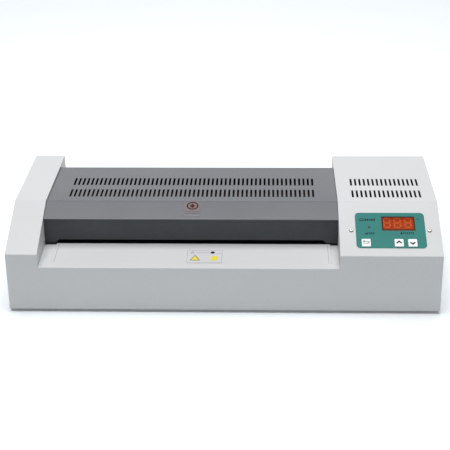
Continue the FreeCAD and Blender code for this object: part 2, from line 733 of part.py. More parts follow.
def heating_elements():
    """Mica heating strips on the backs of the two shoes."""
    strips = []
    for side in (1, -1):
        up = sorted((NIP_UP + side * 5.0, NIP_UP + side * 6.5))
        strips.append(box(frame_span(24.0), (105.5, 131.5), up))
    return group(strips)


def thermostats():
    """Two disc thermostats on the upper heating strip."""
    base = NIP_UP + 6.5
    discs = []
    for x in (-150.0, 66.0):
        body = post(x, IDLER_BACK, (base, base + 6.0), 8.0)
        cap = post(x, IDLER_BACK, (base + 6.0, base + 10.0), 6.5)
        tabs = box((x - 10.5, x + 10.5), (IDLER_BACK - 2, IDLER_BACK + 2), (base + 6.0, base + 6.8))
        discs.append(joined([body, cap, tabs]))
    return group(discs)


def temperature_sensor():
    """Thermistor held close to the upper front roller by a leaf on the upper shoe."""
    radius = 1.5
    reach = ROLLER_R + 0.4 + radius
    tilt = math.radians(20.0)
    x = (GAP_L + GAP_R) / 2
    back = NIP_BACK[0] + reach * math.cos(tilt)
    up = UPPER_UP + reach * math.sin(tilt)
    base = NIP_UP + 8.5
    bead = rod((x - 2.5, x + 2.5), back, up, radius)
    leaf = prism([(102.2, base), (102.8, base), (back + 0.6, up), (back, up)], (x - 1.5, x + 1.5))
    clip = box((x - 5, x + 5), (100.6, 103.4), (base, base + 1.2))
    return joined([bead, leaf, clip])


# ---------------------------------------------------------------- electronics
def power_board():
    """Mains board with its transformer, capacitors, relay and terminals."""
    top = 14.8
    board = box((206.0, 250.0), (60.0, 190.0), (top - BOARD_THICK, top))
    parts = [
        board,
        box((212.0, 244.0), (68.0, 104.0), (top, top + 27.0)),
        box((211.0, 226.0), (150.0, 170.0), (top, top + 15.0)),
        box((210.0, 246.0), (176.0, 187.0), (top, top + 11.0)),
    ]
    parts += [post(219.0 + 17.0 * index, 122.0, (top, top + 22.0), 6.5) for index in range(2)]
    parts.append(post(238.0, 158.0, (top, top + 14.0), 5.0))
    return joined(parts)


def board_standoffs():
    """Spacers of the power board and of the display board."""
    spacers = [post(x, back, (SHEET, 13.2), 3.0) for x in (211.0, 245.0) for back in (64.0, 188.0)]
    for x, y in PANEL_SCREWS:
        tube = local_post(x, y, (-BOARD_DEPTH, -SHEET), 3.0)
        bored = tube.cut(local_post(x, y, (-BOARD_DEPTH, -SHEET), 1.5))
        spacers.append(on_facet(bored))
    return group(spacers)


def display_board():
    """Board under the control panel, with the three push switches."""
    board = local_box((145.5, 246.5), (11.0, 70.0), (-BOARD_DEPTH - BOARD_THICK, -BOARD_DEPTH))
    parts = [board]
    for centre in KEYS.values():
        top = -PLUNGER_DEPTH - 0.5
        body = local_box((centre - 3, centre + 3), (KEY_ROW - 3, KEY_ROW + 3), (-BOARD_DEPTH, top))
        parts += [body, local_post(centre, KEY_ROW, (top, -PLUNGER_DEPTH), 1.7)]
    holes = [local_post(x, y, (-BOARD_DEPTH - 3, 0), 1.5) for x, y in PANEL_SCREWS]
    return on_facet(joined(parts).cut(holes))


def display_module():
    """Block with three numerals of seven raised light bars each."""
    face = -4.2
    height = 14.9
    width = 9.1
    bar = 2.1
    block_x = (188.0, 224.5)
    middle = (WINDOW[2] + WINDOW[3]) / 2 + DISPLAY_RAISE
    pitch = (block_x[1] - block_x[0]) / DIGITS
    pieces = [local_box(block_x, (middle - 9.5, middle + 9.5), (-BOARD_DEPTH, face))]
    for index in range(DIGITS):
        centre = block_x[0] + pitch * (index + 0.5)
        across = (centre - width / 2 + bar, centre + width / 2 - bar)
        for row in (-height / 2, 0.0, height / 2):
            low = middle + row - bar / 2
            pieces.append(local_box(across, (low, low + bar), (face, face + 0.3)))
        for left in (centre - width / 2, centre + width / 2 - bar):
            for start in (bar - height / 2, bar):
                side = (middle + start, middle + start + height / 2 - 2 * bar)
                pieces.append(local_box((left, left + bar), side, (face, face + 0.3)))
    return on_facet(joined(pieces))


def display_window():
    """Tinted lens in the window of the control panel."""
    x = (WINDOW[0] + WINDOW_SEAM, WINDOW[1] - WINDOW_SEAM)
    y = (WINDOW[2] + WINDOW_SEAM, WINDOW[3] - WINDOW_SEAM)
    return on_facet(local_box(x, y, (-3.0, OVERLAY_THICK)))


def panel_overlay():
    """Printed plate on the sloped panel, open for the window, keys and indicator."""
    sheet = local_box(OVERLAY[0:2], OVERLAY[2:4], (0, OVERLAY_THICK))
    sheet = rounded(sheet, OVERLAY_CORNER, Vector(0, 0, 1))
    return on_facet(sheet.cut(panel_openings((-1, 1))))


def key_cap(centre):
    """Push key with a retaining flange and a stem down to its switch."""
    cap = rounded(key_box(centre, 0.0, (-SHEET - 0.05, OVERLAY_THICK + KEY_RISE)), 1.0, Vector(0, 0, 1))
    flange = key_box(centre, 1.2, (-3.0, -SHEET - 0.05))
    stem = local_post(centre, KEY_ROW, (KEY_TRAVEL + SEAM - PLUNGER_DEPTH, -3.0), 1.6)
    return on_facet(joined([cap, flange, stem]))


def ready_led():
    """Indicator lamp on its legs."""
    x, y = LED_AT
    lamp = local_post(x, y, (-5.2, 1.4), LED_R)
    lamp = lamp.makeFillet(1.2, [edge for edge in lamp.Edges if edge.BoundBox.ZMin > 1.0])
    rim = local_post(x, y, (-5.2, -4.2), LED_R + 0.4)
    legs = [local_box((x + side - 0.25, x + side + 0.25), (y - 0.25, y + 0.25), (-BOARD_DEPTH, -5.2))
            for side in (-0.8, 0.8)]
    return on_facet(joined([lamp, rim] + legs))


def panel_screws():
    """Two screws beside the overlay that hold the display board."""
    length = BOARD_DEPTH + BOARD_THICK + 1.0
    return group(on_facet(placed(pan_screw(1.5, length, 2.6, 1.6), Vector(x, y, 0), Rotation()))
                 for x, y in PANEL_SCREWS)


# ---------------------------------------------------------------- rear connections
def rear_box(at, half, back):
    """Box on the rear panel around a point (x, up)."""
    return box((at[0] - half[0], at[0] + half[0]), back, (at[1] - half[1], at[1] + half[1]))


def rear_post(x, up, back, radius):
    """Cylinder along Y between two distances from the front."""
    return Part.makeCylinder(radius, back[1] - back[0], point(x, back[0], up), Vector(0, 1, 0))


def switch_body():
    """Housing of the mains switch, with its bezel and the pocket for the rocker."""
    at = SWITCH_AT
    housing = rear_box(at, (7.0, 10.3), (PANEL_BACK - 18, PANEL_BACK))
    bezel = rounded(rear_box(at, (8.5, 11.8), (PANEL_BACK, PANEL_BACK + 1.6)), 1.5, Vector(0, 1, 0))
    pocket = rear_box(at, (5.5, 8.8), (PANEL_BACK - 8.5, PANEL_BACK + 2))
    pins = rod((at[0] - 6.4, at[0] + 6.4), PANEL_BACK - 3.0, at[1], 1.0 + RUNNING)
    return joined([housing, bezel]).cut([pocket, pins])


def switch_rocker():
    """Rocker on its two trunnions, tilted to the off side."""
    at = SWITCH_AT
    pivot = PANEL_BACK - 3.0
    section = [(-3.5, -5.0), (1.8, -7.8), (4.4, -7.8), (2.6, 0.0), (4.4, 7.8), (1.8, 7.8), (-3.5, 5.0)]
    paddle = prism([(pivot + back, at[1] + up) for back, up in section], (at[0] - 5.2, at[0] + 5.2))
    pins = rod((at[0] - 6.2, at[0] + 6.2), pivot, at[1], 1.0)
    rocker = joined([paddle, pins])
    rocker.rotate(point(at[0], pivot, at[1]), Vector(1, 0, 0), -ROCKER_TILT)
    return rocker


def power_inlet():
    """Three-pin appliance inlet."""
    at = INLET_AT
    shell = rear_box(at, (13.8, 10.3), (PANEL_BACK - 22, PANEL_BACK))
    rim = rounded(rear_box(at, (16.0, 12.4), (PANEL_BACK, PANEL_BACK + 2.0)), 2.0, Vector(0, 1, 0))
    socket = rear_box(at, (12.2, 8.3), (PANEL_BACK - 16, PANEL_BACK + 3))
    body = joined([shell, rim]).cut(socket)
    pins = []
    for x, up in ((0.0, 1.6), (-7.0, -1.6), (7.0, -1.6)):
        pins.append(rear_box((at[0] + x, at[1] + up), (1.0, 2.0), (PANEL_BACK - 17, PANEL_BACK - 2)))
    return joined([body] + pins)


def case_screw_points():
    """Places of the rear panel's screws."""
    ends = [(x, up) for x in (LEFT + 19.0, RIGHT - 12.0) for up in (22.0, 92.0)]
    return ends + [(-120.0, 8.0), (60.0, 8.0)]


def case_screws():
    """Screws of the rear panel."""
    screw = pan_screw(1.5, 6.0, 2.8, 1.8)
    turn = Rotation(Vector(1, 0, 0), -90)
    return group(placed(screw, point(x, PANEL_BACK, up), turn) for x, up in case_screw_points())


# ---------------------------------------------------------------- feet and labels
def feet():
    """Four rubber feet with a flat underside."""
    pads = []
    for x in (LEFT + 24.0, RIGHT - 24.0):
        for back in (24.0, 200.0):
            pad = Part.makeCone(8.0, 9.0, FOOT_HEIGHT, point(x, back, -FOOT_HEIGHT), Vector(0, 0, 1))
            pads.append(pad)
    return group(pads)


def hood_label():
    """Small plain label on the hood's sloped front."""
    sheet = rounded(local_box((-49.5, -29.0), (5.7, 30.7), (0, 0.25)), 2.0, Vector(0, 0, 1))
    return placed(sheet, point(0, RIDGE[0], RIDGE[1]), Rotation(Vector(1, 0, 0), HOOD_DEG))


def tray_label():
    """Plain label on the feed plate."""
    sheet = local_box((-44.6, -1.1), (10.2, 41.5), (PLATE_THICK, PLATE_THICK + 0.25))
    angle = math.degrees(math.atan(TRAY_SLOPE))
    return placed(sheet, point(0, 0, TRAY_UP), Rotation(Vector(1, 0, 0), angle))


# ---------------------------------------------------------------- assembly
def build():
    """Every sub-part by name."""
    phases = gear_phases()
    parts = {
        "base_pan": base_pan(),
        "front_panel": front_panel(),
        "rear_panel": rear_panel(),
        "left_tower_cover": left_tower_cover(),
        "right_tower_cover": right_tower_cover(),
        "hood": hood(),
        "feed_guard": feed_guard(),
        "feed_tray": feed_tray(),
        "feed_plate": feed_plate(),
        "exit_tray": exit_tray(),
        "tie_rods": tie_rods(),
        "frame_screws": frame_screws(),
        "lower_bushes": lower_bushes(),
        "front_bearing_blocks": bearing_blocks(NIP_BACK[0]),
        "rear_bearing_blocks": bearing_blocks(NIP_BACK[1]),
        "front_pressure_springs": pressure_springs(NIP_BACK[0]),
        "rear_pressure_springs": pressure_springs(NIP_BACK[1]),
        "idler_gear": gear(IDLER_TEETH, phases["idler"], IDLER_BACK, LOWER_UP, SHAFT_R + RUNNING),
        "idler_pin": idler_pin(),
        "drive_pinion": drive_pinion(phases["pinion"]),
        "motor_bracket": motor_bracket(),
        "motor_gearbox": motor_gearbox(),
        "motor_can": motor_can(),
        "upper_heater_shoe": heater_shoe(1),
        "lower_heater_shoe": heater_shoe(-1),
        "heating_elements": heating_elements(),
        "thermostats": thermostats(),
        "temperature_sensor": temperature_sensor(),
        "power_board": power_board(),
        "board_standoffs": board_standoffs(),
        "display_board": display_board(),
        "display_module": display_module(),
        "display_window": display_window(),
        "panel_overlay": panel_overlay(),
        "ready_led": ready_led(),
        "panel_screws": panel_screws(),
        "switch_body": switch_body(),
        "switch_rocker": switch_rocker(),
        "power_inlet": power_inlet(),
        "case_screws": case_screws(),
        "feet": feet(),
        "hood_label": hood_label(),
        "tray_label": tray_label(),
    }
    for name, (x, outward) in FRAMES.items():
        parts[name] = side_frame(x, outward)
    for name, (back, up) in AXLES.items():
        parts[name + "_roller_core"] = roller_core(back, up)
        parts[name + "_roller_sleeve"] = roller_sleeve(back, up)
        parts[name + "_gear"] = gear(ROLLER_TEETH, phases[name], back, up, JOURNAL_R)
    for name, centre in KEYS.items():
        parts[name] = key_cap(centre)
    return parts


def main():
    """Write one STEP file for each sub-part."""
    os.makedirs("parts", exist_ok=True)
    for name, shape in build().items():
        if not shape.isValid():
            print("not valid:", name)
        shape.exportStep(os.path.join("parts", name + ".step"))
        print(name, len(shape.Solids), "solids", round(shape.Volume), "mm3")


main()
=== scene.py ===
import math

import bmesh
import bpy
from mathutils import Matrix, Vector


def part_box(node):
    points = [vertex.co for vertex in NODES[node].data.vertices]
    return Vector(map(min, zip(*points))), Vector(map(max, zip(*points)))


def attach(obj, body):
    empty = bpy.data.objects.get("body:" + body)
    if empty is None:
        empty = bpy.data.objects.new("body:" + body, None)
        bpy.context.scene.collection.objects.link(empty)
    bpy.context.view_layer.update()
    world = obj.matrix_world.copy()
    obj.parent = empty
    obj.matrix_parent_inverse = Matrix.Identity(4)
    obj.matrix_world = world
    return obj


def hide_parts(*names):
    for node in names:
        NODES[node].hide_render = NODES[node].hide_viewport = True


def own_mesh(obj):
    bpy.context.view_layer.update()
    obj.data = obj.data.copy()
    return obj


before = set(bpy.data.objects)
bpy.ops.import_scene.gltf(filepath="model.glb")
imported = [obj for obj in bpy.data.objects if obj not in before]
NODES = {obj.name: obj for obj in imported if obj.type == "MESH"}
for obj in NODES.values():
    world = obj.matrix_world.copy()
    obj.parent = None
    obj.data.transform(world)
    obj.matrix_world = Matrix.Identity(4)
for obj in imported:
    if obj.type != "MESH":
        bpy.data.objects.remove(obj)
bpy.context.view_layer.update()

# Looks of a pouch laminator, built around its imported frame.
# Metres throughout: X across the width, Y from the feed side to the exit side, Z up.
MM = 0.001
MICRON = 0.000001
UP = Vector((0, 0, 1))

# ---------------------------------------------------------------- view and light
CAMERA_AT = Vector((0.05288, -1.35983, 0.69232))
CAMERA_YAW = math.radians(-2.292)
CAMERA_PITCH = math.radians(-24.856)
CAMERA_ROLL = math.radians(-0.760)
LENS_MM = 96.0
SENSOR_MM = 36.0
FLOOR_HALF = 6.0
FLOOR_COLOUR = (0.89, 0.93, 0.96)
FLOOR_GLOW = 0.12
WORLD_STRENGTH = 0.12
WORLD_COLOUR = (0.80, 0.92, 1.0)
# Each area light: its name, place, the point it faces, width and depth, watts.
SOFTBOXES = (
    ("overhead", (-0.10, -0.10, 2.4), (-0.10, -0.0999, 0), (2.2, 2.1), 72.5),
    ("behind", (0.0, 3.2, 1.4), (0, 0, 0.1), (5.0, 2.2), 32.0),
)

# ---------------------------------------------------------------- colours, linear
CASING = (0.605, 0.607, 0.609)
HOOD = (0.104, 0.109, 0.122)
GUARD = (0.052, 0.056, 0.062)
# PAN, STEEL, SILICONE, NYLON, ALUMINIUM, MICA and PASSIVATED are darker than these materials really are.
# This is painted shade that keeps the case's interior dark where it shows through the vents.
PAN = (0.27, 0.28, 0.29)
STEEL = (0.34, 0.34, 0.35)
BLACKENED = (0.055, 0.055, 0.060)
NICKEL = (0.52, 0.50, 0.47)
SILICONE = (0.014, 0.004, 0.004)
NYLON = (0.50, 0.47, 0.39)
BEARING = (0.075, 0.070, 0.064)
ALUMINIUM = (0.36, 0.37, 0.38)
MICA = (0.34, 0.20, 0.095)
BAKELITE = (0.050, 0.042, 0.038)
PASSIVATED = (0.34, 0.30, 0.20)
LAMINATE = (0.020, 0.105, 0.045)
COPPER_TRACK = (0.045, 0.190, 0.075)
TEAL = (0.024, 0.194, 0.174)
LENS_ORANGE = (0.66, 0.075, 0.010)
KEY_WHITE = (0.84, 0.85, 0.86)
BLACK_PLASTIC = (0.016, 0.016, 0.018)
FOOT_BLACK = (0.022, 0.022, 0.023)
DISPLAY_BLOCK = (0.045, 0.045, 0.006)
DIGIT_ORANGE = (0.75, 0.20, 0.08)
DIGIT_GLOW = 0.30
UNLIT_LED = (0.070, 0.030, 0.032)
TRAY_FILM = (0.60, 0.595, 0.615)
HOOD_FILM = (0.205, 0.180, 0.190)
BLACK = (0.010, 0.010, 0.012)
RED = (0.060, 0.010, 0.008)
YELLOW = (0.66, 0.57, 0.070)
GREY = (0.30, 0.30, 0.31)
SLATE = (0.12, 0.115, 0.115)
OLIVE = (0.20, 0.17, 0.06)
# Painted shade: grey for the shadows along the feed plate's edges and its creases.
PAINTED_SHADE_GREY = (0.33, 0.33, 0.34)
WHITE = (0.70, 0.70, 0.70)
BROWN = (0.040, 0.010, 0.006)


# ---------------------------------------------------------------- materials
# Most of a pattern's values lie between these two.
PATTERN_SPAN = (0.3, 0.7)


class Finish:
    """A material whose shader is fed by procedural textures in the piece's own space."""

    def __init__(self, name, roughness, metallic=0.0):
        self.material = bpy.data.materials.new(name)
        self.material.use_nodes = True
        self.tree = self.material.node_tree
        self.shader = self.tree.nodes["Principled BSDF"]
        self.shader.inputs["Roughness"].default_value = roughness
        self.shader.inputs["Metallic"].default_value = metallic
        self.place = self.add("ShaderNodeTexCoord").outputs["Object"]

    def add(self, kind):
        """New shader node."""
        return self.tree.nodes.new(kind)

    def link(self, output, socket):
        """Feeds a socket from an output."""
        self.tree.links.new(output, socket)

    def stretched(self, stretch):
        """Object coordinates scaled differently along each axis."""
        mapping = self.add("ShaderNodeMapping")
        mapping.inputs["Scale"].default_value = stretch
        self.link(self.place, mapping.inputs["Vector"])
        return mapping.outputs["Vector"]

    def noise(self, scale, detail=2.0, stretch=(1, 1, 1)):
        """Cloudy pattern with a number of features per metre."""
        texture = self.add("ShaderNodeTexNoise")
        texture.inputs["Scale"].default_value = scale
        texture.inputs["Detail"].default_value = detail
        self.link(self.stretched(stretch), texture.inputs["Vector"])
        return texture.outputs["Fac"]

    def cells(self, scale, stretch=(1, 1, 1)):
        """Distance from scattered points, for grains and pebbles."""
        texture = self.add("ShaderNodeTexVoronoi")
        texture.inputs["Scale"].default_value = scale
        self.link(self.stretched(stretch), texture.inputs["Vector"])
        return texture.outputs["Distance"]

    def tint(self, pattern, low, high, limits=PATTERN_SPAN):
        """Base colour between two colours after a pattern."""
        ramp = self.add("ShaderNodeValToRGB")
        for stop, place, colour in zip(ramp.color_ramp.elements, limits, (low, high)):
            stop.position = place
            stop.color = (*colour, 1.0)
        self.link(pattern, ramp.inputs["Fac"])
        self.link(ramp.outputs["Color"], self.shader.inputs["Base Color"])

    def polish(self, pattern, low, high):
        """Roughness between two values after a pattern."""
        spread = self.add("ShaderNodeMapRange")
        limits = {"From Min": PATTERN_SPAN[0], "From Max": PATTERN_SPAN[1], "To Min": low, "To Max": high}
        for name, value in limits.items():
            spread.inputs[name].default_value = value
        self.link(pattern, spread.inputs["Value"])
        self.link(spread.outputs["Result"], self.shader.inputs["Roughness"])

    def relief(self, pattern, height):
        """Raised grain of a real height."""
        bump = self.add("ShaderNodeBump")
        bump.inputs["Distance"].default_value = height
        self.link(pattern, bump.inputs["Height"])
        self.link(bump.outputs["Normal"], self.shader.inputs["Normal"])

    def sheen_level(self, level):
        """Strength of the mirror-like part of a non-metal."""
        self.shader.inputs["Specular IOR Level"].default_value = level

    def glow(self, colour, strength):
        """Light that the surface gives off by itself."""
        self.shader.inputs["Emission Color"].default_value = (*colour, 1.0)
        self.shader.inputs["Emission Strength"].default_value = strength


def shade(colour, factor):
    """A colour made darker or lighter."""
    return tuple(channel * factor for channel in colour)


def powder_coat(name, colour, grain=1100.0, height=30 * MICRON, contrast=0.03,
                roughness=(0.42, 0.58), sheen=0.5):
    """Baked powder paint: pebbled skin with slight clouding."""
    finish = Finish(name, roughness[0])
    clouds = finish.noise(9.0, 3.0)
    skin = finish.noise(grain, 3.0)
    finish.tint(skin, shade(colour, 1 - contrast), shade(colour, 1 + contrast))
    finish.polish(clouds, *roughness)
    finish.relief(skin, height)
    finish.sheen_level(sheen)
    return finish.material


def moulded(name, colour, roughness=(0.45, 0.6), grain=2200.0, height=15 * MICRON,
            contrast=0.05, sheen=0.5):
    """Injection-moulded plastic with a fine spark texture."""
    finish = Finish(name, roughness[0])
    clouds = finish.noise(30.0, 3.0)
    finish.tint(clouds, shade(colour, 1 - contrast), shade(colour, 1 + contrast))
    finish.polish(finish.noise(160.0), *roughness)
    finish.relief(finish.cells(grain), height)
    finish.sheen_level(sheen)
    return finish.material


def brushed(name, colour, roughness, stretch=(0.04, 1, 1), lines=2600.0):
    """Drawn or turned metal with fine lines along one direction."""
    finish = Finish(name, roughness[0], metallic=1.0)
    streaks = finish.noise(lines, 3.0, stretch)
    finish.tint(streaks, shade(colour, 0.86), colour)
    finish.polish(streaks, *roughness)
    finish.relief(streaks, 6 * MICRON)
    return finish.material


def plated(name, colour, roughness):
    """Nickel or zinc plating with faint mottling."""
    finish = Finish(name, roughness[0], metallic=1.0)
    mottle = finish.noise(450.0, 4.0)
    finish.tint(mottle, shade(colour, 0.88), colour)
    finish.polish(mottle, *roughness)
    finish.relief(mottle, 4 * MICRON)
    return finish.material


def galvanised(name, colour):
    """Zinc-coated sheet with its crystal pattern."""
    finish = Finish(name, 0.4, metallic=1.0)
    flakes = finish.cells(140.0)
    finish.tint(flakes, shade(colour, 0.82), shade(colour, 1.1), (0.1, 0.7))
    finish.polish(flakes, 0.32, 0.5)
    finish.relief(finish.noise(700.0), 8 * MICRON)
    return finish.material


def rubber(name, colour, roughness=(0.62, 0.8)):
    """Matt rubber with a dusty, slightly uneven skin."""
    finish = Finish(name, roughness[0])
    dust = finish.noise(55.0, 5.0)
    finish.tint(dust, shade(colour, 0.88), shade(colour, 1.12))
    finish.polish(dust, *roughness)
    finish.relief(finish.noise(1800.0), 20 * MICRON)
    finish.sheen_level(0.2)
    return finish.material


def mica_sheet(name, colour):
    """Pressed mica: amber flakes in a brown binder."""
    finish = Finish(name, 0.35)
    flakes = finish.cells(260.0, (1, 1.6, 1))
    finish.tint(flakes, shade(colour, 1.3), shade(colour, 0.6), (0.1, 0.8))
    finish.polish(flakes, 0.25, 0.5)
    finish.relief(flakes, 40 * MICRON)
    return finish.material


def circuit_board(title, laminate, track):
    """Solder-masked board with straight copper tracks under the mask."""
    finish = Finish(title, 0.32)
    bricks = finish.add("ShaderNodeTexBrick")
    colours = {"Color1": laminate, "Color2": shade(laminate, 1.25), "Mortar": track}
    for name, colour in colours.items():
        bricks.inputs[name].default_value = (*colour, 1.0)
    bricks.inputs["Scale"].default_value = 120.0
    bricks.inputs["Mortar Size"].default_value = 0.03
    finish.link(finish.place, bricks.inputs["Vector"])
    finish.link(bricks.outputs["Color"], finish.shader.inputs["Base Color"])
    finish.polish(finish.noise(300.0), 0.25, 0.4)
    finish.relief(bricks.outputs["Fac"], 30 * MICRON)
    return finish.material


def printed_film(name, colour, roughness=(0.28, 0.4)):
    """Screen-printed polyester film with a very fine matt emboss."""
    finish = Finish(name, roughness[0])
    emboss = finish.cells(3000.0)
    finish.tint(finish.noise(14.0, 3.0), shade(colour, 0.96), shade(colour, 1.05))
    finish.polish(emboss, *roughness)
    finish.relief(emboss, 8 * MICRON)
    finish.sheen_level(0.12)
    return finish.material


def print_ink(name, colour):
    """Opaque ink with slightly uneven cover."""
    finish = Finish(name, 0.6)
    cover = finish.noise(900.0, 3.0)
    finish.tint(cover, colour, shade(colour, 1.25))
    finish.polish(cover, 0.55, 0.7)
    finish.sheen_level(0.15)
    return finish.material


def tinted_lens(name, colour):
    """Coloured acrylic that lets the display behind it show."""
    finish = Finish(name, 0.25)
    haze = finish.noise(60.0, 3.0)
    finish.tint(haze, shade(colour, 0.92), colour)
    finish.polish(haze, 0.22, 0.32)
    finish.shader.inputs["Alpha"].default_value = 0.36
    finish.sheen_level(0.05)
    finish.shader.inputs["IOR"].default_value = 1.49
    return finish.material


def light_bar(name, colour, strength):
    """Diffusing plastic lit from behind."""
    finish = Finish(name, 0.4)
    haze = finish.noise(500.0, 2.0)
    finish.tint(haze, shade(colour, 0.8), colour)
    finish.polish(haze, 0.5, 0.6)
    finish.sheen_level(0.08)
    finish.glow(colour, strength)
    return finish.material


def led_plastic(name, colour):
    """Clear-dyed epoxy of an indicator lamp."""
    finish = Finish(name, 0.1)
    haze = finish.noise(700.0, 2.0)
    finish.tint(haze, shade(colour, 0.7), colour)
    finish.polish(haze, 0.06, 0.16)
    finish.shader.inputs["Coat Weight"].default_value = 0.6
    return finish.material


FINISHES = {
    "casing_paint": powder_coat("casing_paint", CASING),
    "hood_paint": powder_coat("hood_paint", HOOD, 900.0, 40 * MICRON, 0.10, (0.30, 0.38), 0.8),
    "guard_plastic": moulded("guard_plastic", GUARD, (0.5, 0.62)),
    "pan_steel": galvanised("pan_steel", PAN),
    "frame_steel": galvanised("frame_steel", STEEL),
    "shaft_steel": brushed("shaft_steel", STEEL, (0.18, 0.3)),
    "blackened_steel": brushed("blackened_steel", BLACKENED, (0.35, 0.5)),
    "screw_steel": plated("screw_steel", NICKEL, (0.32, 0.45)),
    "spring_steel": brushed("spring_steel", STEEL, (0.3, 0.45), (1, 1, 1), 3000.0),
    "silicone": rubber("silicone", SILICONE, (0.45, 0.6)),
    "gear_plastic": moulded("gear_plastic", NYLON, (0.4, 0.55)),
    "bush_plastic": moulded("bush_plastic", BEARING),
    "aluminium": brushed("aluminium", ALUMINIUM, (0.28, 0.4)),
    "mica": mica_sheet("mica", MICA),
    "thermostat_plastic": moulded("thermostat_plastic", BAKELITE, (0.3, 0.45)),
    "motor_steel": plated("motor_steel", PASSIVATED, (0.3, 0.42)),
    "board": circuit_board("board", LAMINATE, COPPER_TRACK),
    "spacer_plastic": moulded("spacer_plastic", KEY_WHITE),
    "display_block": moulded("display_block", DISPLAY_BLOCK, (0.5, 0.6), sheen=0.05),
    "window_tint": tinted_lens("window_tint", LENS_ORANGE),
    "overlay_print": printed_film("overlay_print", TEAL),
    "key_white": moulded("key_white", KEY_WHITE, (0.35, 0.45), 3000.0, 10 * MICRON, 0.015),
    "led": led_plastic("led", UNLIT_LED),
    "switch_black": moulded("switch_black", BLACK_PLASTIC, (0.25, 0.35)),
    "inlet_black": moulded("inlet_black", BLACK_PLASTIC, (0.4, 0.5)),
    "foot_rubber": rubber("foot_rubber", FOOT_BLACK),
    "label_film": printed_film("label_film", TRAY_FILM, (0.35, 0.45)),
}
CLEAR_LABEL = printed_film("clear_label", HOOD_FILM, (0.35, 0.45))
INK_BLACK = print_ink("ink_black", BLACK)
INK_RED = print_ink("ink_red", RED)
INK_YELLOW = print_ink("ink_yellow", YELLOW)
INK_GREY = print_ink("ink_grey", GREY)
INK_SLATE = print_ink("ink_slate", SLATE)
INK_OLIVE = print_ink("ink_olive", OLIVE)
# Painted shade along the feed plate's edges and creases.
INK_PAINTED_SHADE = print_ink("painted_shade_ink", PAINTED_SHADE_GREY)
INK_WHITE = print_ink("ink_white", WHITE)
INK_BROWN = print_ink("ink_brown", BROWN)
DIGIT_LIGHT = light_bar("digit_light", DIGIT_ORANGE, DIGIT_GLOW)


def finish_cad_nodes():
    """Every CAD node takes the finish of its own slot; the hood's label has a darker film."""
    for node in NODES.values():
        for slot in node.material_slots:
            slot.material = FINISHES[slot.material.name]
    NODES["hood_label"].material_slots[0].material = CLEAR_LABEL


# ---------------------------------------------------------------- edges
def smooth_group():
    """Node group that shades a mesh smoothly."""
    group = bpy.data.node_groups.new("smooth shading", "GeometryNodeTree")
    group.interface.new_socket("Geometry", in_out="INPUT", socket_type="NodeSocketGeometry")
    group.interface.new_socket("Geometry", in_out="OUTPUT", socket_type="NodeSocketGeometry")
    start = group.nodes.new("NodeGroupInput")
    smooth = group.nodes.new("GeometryNodeSetShadeSmooth")
    end = group.nodes.new("NodeGroupOutput")
    group.links.new(start.outputs[0], smooth.inputs["Geometry"])
    group.links.new(smooth.outputs["Geometry"], end.inputs[0])
    return group


SMOOTH = smooth_group()
SAME_POINT = 0.01 * MM
FLAT_ANGLE = math.radians(0.4)
HARD_ANGLE = math.radians(40)
LARGEST_FACES_FIRST = 100


def soften(piece, width):
    """Joins a mesh's faces, rounds its hard edges and evens out its shading."""
    join = piece.modifiers.new("join", "WELD")
    join.merge_threshold = SAME_POINT
    flatten = piece.modifiers.new("flatten", "DECIMATE")
    flatten.decimate_type = "DISSOLVE"
    flatten.angle_limit = FLAT_ANGLE
    bevel = piece.modifiers.new("edges", "BEVEL")
    bevel.width = width
    bevel.segments = 2
    bevel.limit_method = "ANGLE"
    bevel.angle_limit = HARD_ANGLE
    smooth = piece.modifiers.new("smooth", "NODES")
    smooth.node_group = SMOOTH
    normals = piece.modifiers.new("normals", "WEIGHTED_NORMAL")
    normals.keep_sharp = False
    normals.weight = LARGEST_FACES_FIRST


# Width of the rounded edges of each piece, in millimetres.
SOFT_EDGES = {
    "left_tower_cover": 0.25, "right_tower_cover": 0.25, "front_panel": 0.25, "rear_panel": 0.25,
    "hood": 0.25, "feed_guard": 0.4, "feed_tray": 0.25, "feed_plate": 0.2, "exit_tray": 0.25,
    "base_pan": 0.25, "panel_overlay": 0.12, "display_window": 0.25, "key_reverse": 0.3,
    "key_up": 0.3, "key_down": 0.3, "switch_body": 0.3, "switch_rocker": 0.3, "power_inlet": 0.3,
    "feet": 0.6,
}


# ---------------------------------------------------------------- flat graphics
# Outlines are in millimetres on a face: x across it and y up its slope, from its middle.
def face_group(node, facing):
    """Outward direction and polygons of the largest flat face turned towards a direction."""
    groups = {}
    for polygon in NODES[node].data.polygons:
        if polygon.normal.dot(facing) > 0.5:
            key = tuple(round(value, 3) for value in polygon.normal)
            groups.setdefault(key, []).append(polygon)
    largest = max(groups, key=lambda key: sum(polygon.area for polygon in groups[key]))
    return Vector(largest).normalized(), groups[largest]


def face_axes(outward):
    """Directions across a sloped face, up it and out of it."""
    across = Vector((1, 0, 0))
    return across, outward.cross(across).normalized(), outward


def top_face(node):
    """Turn and middle of a plate's upper face: X across, Y up the slope, Z outwards."""
    outward = face_group(node, UP)[0]
    axes = face_axes(outward)
    spans = []
    for axis in axes:
        reach = [vertex.co.dot(axis) for vertex in NODES[node].data.vertices]
        spans.append((min(reach), max(reach)))
    middle = axes[0] * sum(spans[0]) / 2 + axes[1] * sum(spans[1]) / 2 + outward * spans[2][1]
    return Matrix(axes).transposed().to_4x4(), middle


def on_face(node, shift=(0.0, 0.0, 0.0)):
    """Placement on a plate's upper face, moved within it by millimetres."""
    turn, middle = top_face(node)
    return Matrix.Translation(middle) @ turn @ Matrix.Translation(Vector(shift) * MM)


def mesh_piece(name, build, body, material):
    """Adds a piece whose mesh is filled in by a function."""
    mesh = bpy.data.meshes.new(name)
    form = bmesh.new()
    build(form)
    bmesh.ops.recalc_face_normals(form, faces=form.faces)
    form.to_mesh(mesh)
    form.free()
    piece = bpy.data.objects.new(name, mesh)
    bpy.context.scene.collection.objects.link(piece)
    mesh.materials.append(material)
    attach(piece, body)
    return piece


